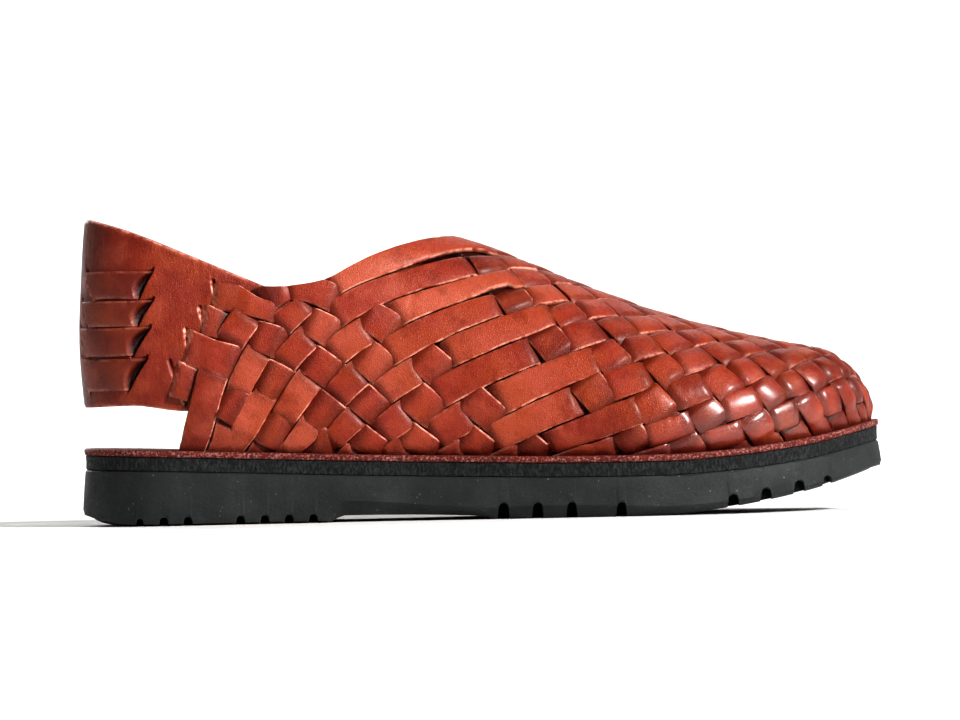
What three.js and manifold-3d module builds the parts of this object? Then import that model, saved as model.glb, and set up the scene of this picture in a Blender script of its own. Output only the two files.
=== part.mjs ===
// A woven leather huarache for the right foot, with a closed toe, an open heel and a heel strap.
// Millimetres. X runs from heel to toe, Y to the wearer's left (the inner side of the foot), Z up.
// The pieces are modelled with the heel at x = 0 on the floor z = 0, and the whole shoe is then
// centred, so that its origin is the middle of its footprint on the floor.
import * as THREE from "three";
import { mergeVertices } from "three/addons/utils/BufferGeometryUtils.js";
import Module from "manifold-3d";

const wasm = await Module();
wasm.setup();

// Driving dimensions
const LENGTH = 285; // outsole, heel to toe
const BALL_WIDTH = 102; // outsole, widest place
const INSTEP_HEIGHT = 100; // floor to the throat of the collar
const STRAP_HEIGHT = 109; // floor to the top of the heel strap at the back

// Thicknesses and gaps
const INSOLE_THICKNESS = 2.4;
const MIDSOLE_THICKNESS = 4.7;
const WALL = 3; // two crossing strips of leather
const STRAP_THICKNESS = 2.6;
const LACE_THICKNESS = 1.5;
const GAP = 0.3; // between pieces that lie on each other

// How far each outline lies inside the outsole's widest outline
const OUTSOLE_TOP_INSET = 1.2;
const MIDSOLE_INSET = 1.4;
const INSOLE_INSET = 1;
const UPPER_INSET_REAR = 1.6;
const UPPER_INSET_FRONT = 3.4;
const UPPER_INSET_CHANGE = { from: 80, over: 80 }; // where along x the one becomes the other
const TREAD_INSET = 4.4;

// Plan of the shoe: along is a share of the length, axis and half are shares of the ball width.
// The axis bends to the outer side at the waist and to the inner side at the toe.
const PLAN = [
  { along: 0.0, axis: 0.0, half: 0.358 },
  { along: 0.14, axis: -0.005, half: 0.358 },
  { along: 0.26, axis: -0.02, half: 0.349 },
  { along: 0.385, axis: -0.045, half: 0.345 },
  { along: 0.51, axis: -0.045, half: 0.395 },
  { along: 0.63, axis: -0.02, half: 0.468 },
  { along: 0.72, axis: 0.005, half: 0.5 },
  { along: 0.81, axis: 0.03, half: 0.487 },
  { along: 0.9, axis: 0.055, half: 0.44 },
  { along: 1.0, axis: 0.08, half: 0.38 },
];
const HEEL_ROUND = { length: 37, power: 2.15 };
const TOE_ROUND = { length: 62, power: 2.2 };

// Side view of the sole, heights in millimetres: the foot's bed, the tread's underside, and how far
// the side wall's lower edge lies above that underside.
const SOLE = [
  { along: 0.0, bed: 27.8, tread: 4.2, edge: 0.8 },
  { along: 0.03, bed: 27.5, tread: 1.2, edge: 0.8 },
  { along: 0.065, bed: 27.1, tread: 0.0, edge: 0.8 },
  { along: 0.305, bed: 24.3, tread: 0.0, edge: 0.8 },
  { along: 0.33, bed: 24.0, tread: 2.4, edge: 4.4 },
  { along: 0.49, bed: 22.5, tread: 1.4, edge: 2.2 },
  { along: 0.515, bed: 22.3, tread: 0.0, edge: 3.4 },
  { along: 0.6, bed: 21.7, tread: 0.0, edge: 3.8 },
  { along: 0.72, bed: 21.5, tread: 0.0, edge: 2.6 },
  { along: 0.8, bed: 22.6, tread: 2.3, edge: 1.6 },
  { along: 0.9, bed: 25.9, tread: 7.3, edge: 1.0 },
  { along: 1.0, bed: 32.3, tread: 15.6, edge: 0.8 },
];

// Cross channels of the tread: along is a share of the length, depth and width in millimetres. Each is
// cut in from both sides of the sole and stops short of the middle.
const CHANNEL_REACH = 18; // from the sole's outline in to a channel's end
const CHANNEL_FLARE = 0.5; // by which each wall of a channel leans out towards its mouth
const CUT_SPARE = 6; // by which a cut or a trimmed end reaches past the piece's own edge
const CHANNELS = [
  { along: 0.075, depth: 2.6, width: 2.4 },
  { along: 0.105, depth: 3.0, width: 2.8 },
  { along: 0.135, depth: 3.0, width: 2.8 },
  { along: 0.2, depth: 3.0, width: 2.8 },
  { along: 0.23, depth: 3.0, width: 2.8 },
  { along: 0.26, depth: 3.0, width: 2.8 },
  { along: 0.29, depth: 3.0, width: 2.8 },
  { along: 0.525, depth: 5.6, width: 3.4 },
  { along: 0.567, depth: 5.4, width: 3.2 },
  { along: 0.609, depth: 5.4, width: 3.0 },
  { along: 0.67, depth: 5.0, width: 3.0 },
  { along: 0.808, depth: 4.2, width: 3.4 },
  { along: 0.849, depth: 4.2, width: 3.4 },
  { along: 0.891, depth: 4.2, width: 3.4 },
  { along: 0.927, depth: 3.0, width: 2.8 },
];

// Cross sections of the upper: ridge is a share of the instep height, above the floor; lean moves the
// ridge to the inner side, as a share of the section's width; power rounds or sharpens the arch.
const SECTIONS = [
  { along: 0.0, ridge: 1.5, lean: 0.0, power: 2.5 },
  { along: 0.15, ridge: 1.47, lean: 0.0, power: 2.4 },
  { along: 0.25, ridge: 1.38, lean: 0.015, power: 2.25 },
  { along: 0.37, ridge: 1.16, lean: 0.04, power: 2.1 },
  { along: 0.45, ridge: 1.035, lean: 0.05, power: 2.05 },
  { along: 0.52, ridge: 0.951, lean: 0.055, power: 2.0 },
  { along: 0.62, ridge: 0.828, lean: 0.055, power: 2.05 },
  { along: 0.74, ridge: 0.695, lean: 0.05, power: 2.15 },
  { along: 0.85, ridge: 0.609, lean: 0.04, power: 2.3 },
  { along: 0.93, ridge: 0.566, lean: 0.03, power: 2.4 },
  { along: 1.0, ridge: 0.553, lean: 0.0, power: 2.4 },
];
const TOE_CAP_ROUND = { length: 20, power: 1.9 }; // side profile of the toe
const TUCK_TURN = 0.36; // radians by which the wall turns in under its widest line
const TUCK_RISE = 9; // height of that widest line above the foot's bed

// Side view of the cut that opens the upper, from the heel up and forward to the throat.
const OPENING = [
  { x: 36, z: 24 },
  { x: 37, z: 38 },
  { x: 41.5, z: 54 },
  { x: 43, z: 68 },
  { x: 49.5, z: 85.4 },
  { x: 60, z: 84.2 },
  { x: 72, z: 83.5 },
  { x: 82, z: 84.3 },
  { x: 90, z: 86.2 },
  { x: 97, z: 89.8 },
  { x: 106, z: 94 },
  { x: 115, z: 97 },
  { x: 124, z: 99.2 },
  { x: 131, z: 100 },
  { x: 150, z: 100.6 },
];

// Heel strap, in side view: the back bulges at mid height, and the top edge falls to the front.
const STRAP_FRONT = 66;
const STRAP_BACK = { bulge: 0.4, height: 67, recede: 2.6, over: 40 };
const STRAP_EDGES = [
  { x: 0, low: 42.2, high: STRAP_HEIGHT },
  { x: 18, low: 42.6, high: STRAP_HEIGHT - 5.4 },
  { x: 36, low: 40.4, high: STRAP_HEIGHT - 12.4 },
  { x: STRAP_FRONT, low: 39.6, high: STRAP_HEIGHT - 24.8 },
];

// Lace bars through the strap's slits, from the top one down: heights of their edges, and how far
// round the strap (0 at the back, 1 at the front end) the long top edge and short low edge reach.
const LACES = [
  { name: "1", high: 90.2, low: 80.5 },
  { name: "2", high: 79.9, low: 70.8 },
  { name: "3", high: 70.2, low: 60.1 },
  { name: "4", high: 59.5, low: 48.2 },
];
const LACE_REACH = { topBack: 0.17, topFront: 0.58, lowBack: 0.22, lowFront: 0.5 };

// Steps of the faceted surfaces
const SOLE_STATIONS = 76;
const UPPER_STATIONS = 40;
const UPPER_TURNS = 34;
const STRAP_TURNS = 44;
const STRAP_ROWS = 5;
const LACE_TURNS = 8;
const LACE_ROWS = 2;
const MERGE_DISTANCE = 1e-3;

const lerp = THREE.MathUtils.lerp;
const clamp = THREE.MathUtils.clamp;

// Reads one column of a table at a place between its rows, on a smooth curve that doesn't overshoot.
function read(table, column, at, key = "along") {
  const last = table.length - 1;
  const place = clamp(at, table[0][key], table[last][key]);
  let i = 0;
  while (i < last - 1 && place > table[i + 1][key]) i += 1;
  const span = (k) => table[k + 1][key] - table[k][key];
  const slope = (k) => (table[k + 1][column] - table[k][column]) / span(k);
  const tangent = (k) => {
    if (k === 0) return slope(0);
    if (k === last) return slope(last - 1);
    const before = slope(k - 1);
    const after = slope(k);
    if (before * after <= 0) return 0;
    const early = 2 * span(k) + span(k - 1);
    const late = span(k) + 2 * span(k - 1);
    return (early + late) / (early / before + late / after);
  };
  const h = span(i);
  const t = (place - table[i][key]) / h;
  const rise = t * t * (3 - 2 * t);
  return (
    lerp(table[i][column], table[i + 1][column], rise) +
    h * t * (1 - t) * (tangent(i) * (1 - t) - tangent(i + 1) * t)
  );
}

// 0 at an end, growing on a superellipse to 1 where the rounding is over.
function roundOff(distance, { length, power }) {
  const short = 1 - clamp(distance / length, 0, 1);
  return (1 - short ** power) ** (1 / power);
}

// Middle line and half width of an outline that lies the given distance inside the outsole's.
function plan(x, inset) {
  const along = x / LENGTH;
  const half = read(PLAN, "half", along) * BALL_WIDTH - inset;
  const heel = roundOff(x - inset, { ...HEEL_ROUND, length: HEEL_ROUND.length - inset });
  const toe = roundOff(LENGTH - inset - x, { ...TOE_ROUND, length: TOE_ROUND.length - inset });
  return { axis: read(PLAN, "axis", along) * BALL_WIDTH, half: half * heel * toe };
}

const bedHeight = (x) => read(SOLE, "bed", x / LENGTH);
const treadHeight = (x) => read(SOLE, "tread", x / LENGTH);
const edgeRise = (x) => read(SOLE, "edge", x / LENGTH);

// Closed solid from points and triangles: equal points are merged and empty triangles dropped.
function solidGeometry(points, triangles) {
  const geometry = new THREE.BufferGeometry().setFromPoints(points);
  geometry.setIndex(triangles);
  const merged = mergeVertices(geometry, MERGE_DISTANCE);
  const old = merged.index.array;
  const kept = [];
  for (let i = 0; i < old.length; i += 3) {
    const [a, b, c] = old.slice(i, i + 3);
    if (a !== b && b !== c && a !== c) kept.push(a, b, c);
  }
  merged.setIndex(kept);
  return merged;
}

function toManifold(geometry) {
  const vertProperties = new Float32Array(geometry.attributes.position.array);
  const triVerts = new Uint32Array(geometry.index.array);
  return new wasm.Manifold(new wasm.Mesh({ numProp: 3, vertProperties, triVerts }));
}

function fromManifold(manifold) {
  const mesh = manifold.getMesh();
  return new THREE.BufferGeometry()
    .setAttribute("position", new THREE.BufferAttribute(mesh.vertProperties, 3))
    .setIndex(new THREE.BufferAttribute(mesh.triVerts, 1));
}

// A layer of the sole: a stack of rings from the top down, each with its inset and its height at x.
function layerGeometry(rings) {
  const points = [];
  const triangles = [];
  const at = (ring, side, i) => (ring * 2 + side) * (SOLE_STATIONS + 1) + i;
  for (const { inset, height } of rings) {
    for (const side of [-1, 1]) {
      for (let i = 0; i <= SOLE_STATIONS; i += 1) {
        const share = (1 - Math.cos((Math.PI * i) / SOLE_STATIONS)) / 2;
        const x = lerp(inset, LENGTH - inset, share);
        const { axis, half } = plan(x, inset);
        points.push(new THREE.Vector3(x, axis + side * half, height(x)));
      }
    }
  }
  const quad = (a, b, c, d) => triangles.push(a, b, c, a, c, d);
  const low = rings.length - 1;
  for (let i = 0; i < SOLE_STATIONS; i += 1) {
    quad(at(0, 0, i), at(0, 0, i + 1), at(0, 1, i + 1), at(0, 1, i));
    quad(at(low, 1, i), at(low, 1, i + 1), at(low, 0, i + 1), at(low, 0, i));
    for (let ring = 0; ring < low; ring += 1) {
      quad(at(ring, 0, i), at(ring + 1, 0, i), at(ring + 1, 0, i + 1), at(ring, 0, i + 1));
      quad(at(ring, 1, i + 1), at(ring + 1, 1, i + 1), at(ring + 1, 1, i), at(ring, 1, i));
    }
  }
  return solidGeometry(points, triangles);
}

// Prism whose side view is the given outline, from one y to another, by default right across the shoe.
function sideCut(outline, from = -BALL_WIDTH, to = BALL_WIDTH) {
  const shape = new THREE.Shape(outline.map(({ x, z }) => new THREE.Vector2(x, z)));
  const prism = new THREE.ExtrudeGeometry(shape, { depth: to - from, bevelEnabled: false });
  prism.rotateX(Math.PI / 2);
  prism.translate(0, to, 0);
  prism.deleteAttribute("normal");
  prism.deleteAttribute("uv");
  return toManifold(mergeVertices(prism, MERGE_DISTANCE));
}

// Round-roofed cross channel of the tread, standing on its underside.
function channelOutline({ along, depth, width }) {
  const x = along * LENGTH;
  const mouth = treadHeight(x) - CUT_SPARE;
  const roof = treadHeight(x) + depth;
  const half = width / 2;
  const shoulder = roof - half;
  const flare = half + CHANNEL_FLARE;
  return [
    { x: x - flare, z: mouth },
    { x: x + flare, z: mouth },
    { x: x + half, z: shoulder },
    { x: x + half * Math.SQRT1_2, z: shoulder + half * Math.SQRT1_2 },
    { x, z: roof },
    { x: x - half * Math.SQRT1_2, z: shoulder + half * Math.SQRT1_2 },
    { x: x - half, z: shoulder },
  ];
}

// The two prisms that cut a channel, one from each side of the sole.
function channelCuts(channel) {
  const outline = channelOutline(channel);
  const { axis, half } = plan(channel.along * LENGTH, 0);
  const end = half - CHANNEL_REACH;
  return [
    sideCut(outline, axis - half - CUT_SPARE, axis - end),
    sideCut(outline, axis + end, axis + half + CUT_SPARE),
  ];
}

function outsoleGeometry() {
  const top = (x) => bedHeight(x) - INSOLE_THICKNESS - MIDSOLE_THICKNESS - 2 * GAP;
  const body = layerGeometry([
    { inset: OUTSOLE_TOP_INSET, height: top },
    { inset: 0, height: (x) => treadHeight(x) + edgeRise(x) },
    { inset: TREAD_INSET, height: treadHeight },
  ]);
  const cut = CHANNELS.flatMap(channelCuts).reduce(
    (left, channel) => left.subtract(channel),
    toManifold(body),
  );
  return fromManifold(cut);
}

function midsoleGeometry() {
  const top = (x) => bedHeight(x) - INSOLE_THICKNESS - GAP;
  return layerGeometry([
    { inset: MIDSOLE_INSET, height: top },
    { inset: MIDSOLE_INSET, height: (x) => top(x) - MIDSOLE_THICKNESS },
  ]);
}

function insoleGeometry() {
  return layerGeometry([
    { inset: INSOLE_INSET, height: bedHeight },
    { inset: INSOLE_INSET, height: (x) => bedHeight(x) - INSOLE_THICKNESS },
  ]);
}

// The upper's cross section at x: its middle, half widths, widest height, ridge and arch power.
function section(x, inset) {
  const along = x / LENGTH;
  const front = clamp((x - UPPER_INSET_CHANGE.from) / UPPER_INSET_CHANGE.over, 0, 1);
  const ledge = lerp(UPPER_INSET_REAR, UPPER_INSET_FRONT, front);
  const { axis, half } = plan(x, ledge + inset);
  const lean = read(SECTIONS, "lean", along) * 2 * half;
  const feather = bedHeight(x) + GAP;
  const toe = roundOff(LENGTH - UPPER_INSET_FRONT - inset - x, TOE_CAP_ROUND);
  const ridge = read(SECTIONS, "ridge", along) * INSTEP_HEIGHT - inset;
  return {
    feather,
    middle: axis + lean,
    outer: half + lean,
    inner: half - lean,
    widest: feather + TUCK_RISE * toe,
    ridge: lerp(feather, ridge, toe),
    power: read(SECTIONS, "power", along),
  };
}

// A point of the upper: turn runs from 0 at the outer feather edge over the ridge to 1 at the inner.
function upperPoint(x, turn, inset) {
  const { feather, middle, outer, inner, widest, ridge, power } = section(x, inset);
  const angle = lerp(-TUCK_TURN, Math.PI + TUCK_TURN, turn);
  const across = Math.cos(angle);
  const up = Math.sin(angle);
  const side = across > 0 ? -outer : inner;
  const y = middle + side * Math.abs(across) ** (2 / power);
  const z =
    up > 0
      ? lerp(widest, ridge, up ** (2 / power))
      : lerp(widest, feather, -up / Math.sin(TUCK_TURN));
  return new THREE.Vector3(x, y, z);
}

// Closed wall between an outer and an inner grid of points, with rims along all four edges.
function wallGeometry(columns, rows, outerPoint, innerPoint) {
  const points = [];
  const triangles = [];
  for (const point of [outerPoint, innerPoint]) {
    for (let i = 0; i <= columns; i += 1) {
      for (let j = 0; j <= rows; j += 1) points.push(point(i / columns, j / rows));
    }
  }
  const out = (i, j) => i * (rows + 1) + j;
  const into = (i, j) => (columns + 1) * (rows + 1) + out(i, j);
  const quad = (a, b, c, d) => triangles.push(a, b, c, a, c, d);
  for (let i = 0; i < columns; i += 1) {
    for (let j = 0; j < rows; j += 1) {
      quad(out(i, j), out(i + 1, j), out(i + 1, j + 1), out(i, j + 1));
      quad(into(i, j), into(i, j + 1), into(i + 1, j + 1), into(i + 1, j));
    }
    quad(out(i, 0), into(i, 0), into(i + 1, 0), out(i + 1, 0));
    quad(out(i, rows), out(i + 1, rows), into(i + 1, rows), into(i, rows));
  }
  for (let j = 0; j < rows; j += 1) {
    quad(out(0, j), out(0, j + 1), into(0, j + 1), into(0, j));
    quad(out(columns, j), into(columns, j), into(columns, j + 1), out(columns, j + 1));
  }
  return solidGeometry(points, triangles);
}

function upperGeometry() {
  const rear = OPENING[0].x - CUT_SPARE;
  const skin = (inset) => (share, turn) => {
    const toe = LENGTH - UPPER_INSET_FRONT - inset;
    return upperPoint(lerp(rear, toe, Math.sin((share * Math.PI) / 2)), turn, inset);
  };
  const wall = toManifold(wallGeometry(UPPER_STATIONS, UPPER_TURNS, skin(0), skin(WALL)));
  const throat = OPENING[OPENING.length - 1];
  const above = INSTEP_HEIGHT * 2;
  const outline = [
    ...OPENING,
    { x: throat.x, z: above },
    { x: 0, z: above },
    { x: 0, z: OPENING[0].z },
  ];
  return fromManifold(wall.subtract(sideCut(outline)));
}

// Rear end of the heel strap at a height: it bulges at mid height and recedes above and below.
function strapBack(z) {
  const away = (z - STRAP_BACK.height) / STRAP_BACK.over;
  return STRAP_BACK.bulge + STRAP_BACK.recede * away * away;
}

// A point of the heel strap: turn from -1 at the outer front end round the back to 1 at the inner,
// z above the floor, inset into the leather from the outer face. Its ends lie inside the woven wall.
function strapPoint(turn, z, inset) {
  const back = strapBack(z) + inset;
  const x = lerp(back, STRAP_FRONT, 1 - Math.cos((Math.abs(turn) * Math.PI) / 2));
  const { middle, outer, inner, widest, ridge, power } = section(Math.max(x, HEEL_ROUND.length), 0);
  const share = clamp((z - widest) / (ridge - widest), 0, 1);
  const narrow = (1 - share ** power) ** (1 / power);
  const side = turn < 0 ? -outer : inner;
  const half = side * narrow - Math.sign(side) * (WALL + GAP + inset);
  const round = roundOff(x - back, { ...HEEL_ROUND, length: HEEL_ROUND.length - inset });
  return new THREE.Vector3(x, middle + half * round, z);
}

function strapGeometry() {
  const skin = (inset) => (share, rise) => {
    const turn = lerp(1, -1, share);
    const x = lerp(0, STRAP_FRONT, 1 - Math.cos((Math.abs(turn) * Math.PI) / 2));
    const low = read(STRAP_EDGES, "low", x, "x");
    const high = read(STRAP_EDGES, "high", x, "x");
    return strapPoint(turn, lerp(low, high, rise), inset);
  };
  return wallGeometry(STRAP_TURNS, STRAP_ROWS, skin(0), skin(STRAP_THICKNESS));
}

// One lace bar on the strap's outer face: side is -1 on the outer side of the foot, 1 on the inner.
function laceGeometry({ high, low }, side) {
  const skin = (inset) => (share, rise) => {
    const back = lerp(LACE_REACH.lowBack, LACE_REACH.topBack, rise);
    const front = lerp(LACE_REACH.lowFront, LACE_REACH.topFront, rise);
    const [first, last] = side > 0 ? [front, back] : [-back, -front];
    return strapPoint(lerp(first, last, share), lerp(low, high, rise), inset);
  };
  return wallGeometry(LACE_TURNS, LACE_ROWS, skin(-GAP - LACE_THICKNESS), skin(-GAP));
}

const leather = (color) => new THREE.MeshStandardMaterial({ color, roughness: 0.55, metalness: 0 });
const rubber = (color) => new THREE.MeshStandardMaterial({ color, roughness: 0.85, metalness: 0 });

const shoe = new THREE.Group();

function addPiece(name, geometry, material) {
  geometry.computeVertexNormals();
  const mesh = new THREE.Mesh(geometry, material);
  mesh.name = name;
  shoe.add(mesh);
}

addPiece("outsole", outsoleGeometry(), rubber(0x2b2d2d));
addPiece("midsole", midsoleGeometry(), rubber(0x202222));
addPiece("insole", insoleGeometry(), leather(0x6b3028));
addPiece("upper", upperGeometry(), leather(0x9c4230));
addPiece("heel_strap", strapGeometry(), leather(0x94412f));
for (const lace of LACES) {
  addPiece(`heel_lace_outer_${lace.name}`, laceGeometry(lace, -1), leather(0x7d382a));
  addPiece(`heel_lace_inner_${lace.name}`, laceGeometry(lace, 1), leather(0x7d382a));
}

const box = new THREE.Box3().setFromObject(shoe);
const middle = box.getCenter(new THREE.Vector3());
shoe.position.set(-middle.x, -middle.y, -box.min.z);

export default shoe;
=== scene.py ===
"""A woven leather huarache for the right foot: its looks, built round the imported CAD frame.

Sizes are millimetres in the shoe's own axes, as in the CAD part: x from heel to toe, y to the inner side
of the foot, z up from the floor, with the heel at x = 0. to_frame() turns them into the frame's metres.
"""
import math

import bmesh
import bpy
import numpy as np
from mathutils import Matrix, Vector


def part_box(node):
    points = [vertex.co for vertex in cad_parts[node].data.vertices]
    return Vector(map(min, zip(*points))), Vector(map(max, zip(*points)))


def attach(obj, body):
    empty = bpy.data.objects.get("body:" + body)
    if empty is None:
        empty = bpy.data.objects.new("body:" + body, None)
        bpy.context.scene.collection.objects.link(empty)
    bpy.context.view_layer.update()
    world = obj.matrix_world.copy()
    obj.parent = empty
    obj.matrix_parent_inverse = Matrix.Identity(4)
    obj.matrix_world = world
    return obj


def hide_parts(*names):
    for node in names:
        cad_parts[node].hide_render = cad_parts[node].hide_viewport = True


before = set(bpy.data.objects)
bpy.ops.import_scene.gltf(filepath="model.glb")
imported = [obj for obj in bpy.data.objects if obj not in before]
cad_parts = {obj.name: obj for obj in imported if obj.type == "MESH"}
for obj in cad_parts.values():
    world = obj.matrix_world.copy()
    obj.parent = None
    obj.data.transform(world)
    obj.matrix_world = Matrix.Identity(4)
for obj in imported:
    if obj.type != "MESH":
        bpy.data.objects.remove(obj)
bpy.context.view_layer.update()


def table(columns, *rows):
    """Short table as one array per named column."""
    return dict(zip(columns.split(), np.array(rows, float).T))


# Driving dimensions and thicknesses, the same as in the CAD part
LENGTH = 285
BALL_WIDTH = 102
INSTEP_HEIGHT = 100
STRAP_HEIGHT = 109
INSOLE_THICKNESS = 2.4
MIDSOLE_THICKNESS = 4.7
WALL = 3
STRAP_THICKNESS = 2.6
GAP = 0.3
OUTSOLE_TOP_INSET = 1.2
MIDSOLE_INSET = 1.4
INSOLE_INSET = 1
UPPER_INSET_REAR = 1.6
UPPER_INSET_FRONT = 3.4
UPPER_INSET_FROM = 80
UPPER_INSET_OVER = 80
TREAD_INSET = 4.4
TREAD_EDGE_INSET = 0.45
HEEL_ROUND = (37, 2.15)
TOE_ROUND = (62, 2.2)
TOE_CAP_ROUND = (20, 1.9)
TUCK_TURN = 0.36
TUCK_RISE = 9
# The sole's layers are brought together by this, so that no light shows between them
FLUSH = 0.26

# Plan of the shoe: shares of the length and of the ball width
PLAN = table(
    "along axis half",
    (0.0, 0.0, 0.358),
    (0.14, -0.005, 0.358),
    (0.26, -0.02, 0.349),
    (0.385, -0.045, 0.345),
    (0.51, -0.045, 0.395),
    (0.63, -0.02, 0.468),
    (0.72, 0.005, 0.5),
    (0.81, 0.03, 0.487),
    (0.9, 0.055, 0.44),
    (1.0, 0.08, 0.38),
)
# Side view of the sole: heights of the foot's bed and the tread, and of the wall's lower edge above it
SOLE = table(
    "along bed tread edge",
    (0.0, 27.8, 4.2, 0.8),
    (0.03, 27.5, 1.2, 0.8),
    (0.065, 27.1, 0.0, 0.8),
    (0.305, 24.3, 0.0, 0.8),
    (0.33, 24.0, 2.4, 4.4),
    (0.49, 22.5, 1.4, 2.2),
    (0.515, 22.3, 0.0, 3.4),
    (0.6, 21.7, 0.0, 3.8),
    (0.72, 21.5, 0.0, 2.6),
    (0.8, 22.6, 2.3, 1.6),
    (0.9, 25.9, 7.3, 1.0),
    (1.0, 32.3, 15.6, 0.8),
)
# Cross channels of the tread, cut in from both sides: place along the shoe, depth and width
CHANNEL_REACH = 18
CHANNEL_FLARE = 0.5
CHANNEL_STEPS = 25
CHANNEL_SPARE = 0.2
CHANNEL_EDGE = 0.05
CHANNEL_END = 0.4
CHANNELS = table(
    "along depth width",
    (0.075, 2.6, 2.4),
    (0.105, 3.0, 2.8),
    (0.135, 3.0, 2.8),
    (0.2, 3.0, 2.8),
    (0.23, 3.0, 2.8),
    (0.26, 3.0, 2.8),
    (0.29, 3.0, 2.8),
    (0.525, 5.6, 3.4),
    (0.567, 5.4, 3.2),
    (0.609, 5.4, 3.0),
    (0.67, 5.0, 3.0),
    (0.808, 4.2, 3.4),
    (0.849, 4.2, 3.4),
    (0.891, 4.2, 3.4),
    (0.927, 3.0, 2.8),
)
# Cross sections of the upper: height of the ridge, its lean to the inner side, power of the arch
SECTIONS = table(
    "along ridge lean power",
    (0.0, 1.5, 0.0, 2.5),
    (0.15, 1.47, 0.0, 2.4),
    (0.25, 1.38, 0.015, 2.25),
    (0.37, 1.16, 0.04, 2.1),
    (0.45, 1.035, 0.05, 2.05),
    (0.52, 0.951, 0.055, 2.0),
    (0.62, 0.828, 0.055, 2.05),
    (0.74, 0.695, 0.05, 2.15),
    (0.85, 0.609, 0.04, 2.3),
    (0.93, 0.566, 0.03, 2.4),
    (1.0, 0.553, 0.0, 2.4),
)
# Heel strap in side view
STRAP_FRONT = 66
STRAP_BULGE = 0.4
STRAP_BULGE_HEIGHT = 67
STRAP_RECEDE = 2.6
STRAP_RECEDE_OVER = 40
STRAP_EDGES = table(
    "x low high",
    (0, 42.2, STRAP_HEIGHT),
    (18, 42.6, STRAP_HEIGHT - 5.4),
    (36, 40.4, STRAP_HEIGHT - 12.4),
    (STRAP_FRONT, 39.6, STRAP_HEIGHT - 24.8),
)
# Lace bars on the strap: heights, and their ends as turns round the strap
LACES = table(
    "high low top_back low_back top_front low_front",
    (90.2, 80.5, 0.185, 0.275, 0.6, 0.539),
    (79.9, 70.8, 0.14, 0.235, 0.603, 0.532),
    (70.2, 60.1, 0.13, 0.2, 0.592, 0.507),
    (59.5, 48.2, 0.13, 0.19, 0.578, 0.481),
)

# Chart of the weave, from the photograph: x of each strip's middle where it crosses the quarters of
# the wall, up the outer side (foot to ridge) and down the inner side (ridge to fall_foot). The strips
# of the other family are these mirrored from side to side.
CROSSING_STRIPS = table(
    "strip foot low mid high ridge fall_high fall_mid fall_low fall_foot",
    (2, 50.5, 63.5, 88.5, 121.5, 152, 165, 184, 202, 216),
    (3, 56, 73, 101, 139, 165, 179, 197, 216, 231),
    (4, 64.5, 86, 115, 155, 178, 196, 215, 233, 244),
    (5, 75, 99, 132, 172, 193, 212, 230, 246, 256),
    (6, 86.5, 114, 152, 191, 209, 227, 243, 256, 264),
    (7, 97, 131, 176, 210, 225, 242, 256, 266, 271),
    (8, 116, 154, 202, 228, 241, 256, 267, 273.5, 276.5),
    (9, 137, 181, 225, 245, 256, 267, 274.5, 278.5, 279.8),
    (10, 156, 212, 246, 259, 267, 274.5, 278.8, 280.6, 281),
    (11, 180, 244, 266, 272.5, 276, 279.2, 280.9, 281.35, 281.45),
    (12, 208, 268, 277, 279.6, 280.4, 281.1, 281.4, 281.5, 281.55),
)
# Strips of one side only: places x and shares of the wall from the sole to the ridge. Strip 1 rises
# along the rear edge; the others fall to the sole, from the collar or from a slit of the heel strap.
REAR_STRIP = ((39, -0.1), (41.5, 0.0), (44.5, 0.1), (49, 0.21), (58.5, 0.34), (65.5, 0.41), (78, 0.475))
FALLING_STRIPS = {
    1: ((139, 0.93), (148, 0.75), (163, 0.5), (181, 0.25), (198, 0.0), (205, -0.1)),
    0: ((68, 0.43), (86, 0.478), (107, 0.45), (125, 0.34), (144, 0.175), (163, 0.0), (174, -0.1)),
    -1: ((46, 0.412), (64, 0.408), (87, 0.382), (104, 0.305), (122, 0.175), (145, 0.0), (158, -0.1)),
    -2: ((42, 0.342), (59, 0.328), (77, 0.294), (94, 0.224), (111, 0.1), (126, 0.0), (141, -0.1)),
    -3: ((36, 0.273), (49, 0.256), (69, 0.21), (85, 0.142), (98, 0.065), (109, 0.0), (126, -0.1)),
    -4: ((31, 0.185), (45, 0.155), (58, 0.1), (69, 0.05), (80, 0.01), (91, -0.03), (108, -0.1)),
}
# Slits of the heel strap where the falling strips -1 to -4 come out: side view of their two ends
TOOTH_SLITS = table(
    "strip top_x top_z low_x low_z",
    (-1, 48.7, 85.6, 51.5, 74.6),
    (-2, 44.0, 76.5, 47.0, 66.4),
    (-3, 39.0, 68.7, 41.4, 56.0),
    (-4, 33.0, 58.0, 38.0, 43.3),
)

# Gaps where a strip stands clear of its neighbour of the next (1) or the last (-1) number: x along the
# strip, and the width at the gap's wide end. With a width below 0 it laps over that neighbour.
GAPS = table(
    "strip step start end width",
    (2, 1, 106, 144, 3.4),
    (4, 1, 132, 152, 2.2),
    (6, 1, 156, 171, 0.9),
    (1, -1, 138, 200, 1.1),
    (3, -1, 48, 64, -3.2),
)
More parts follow.
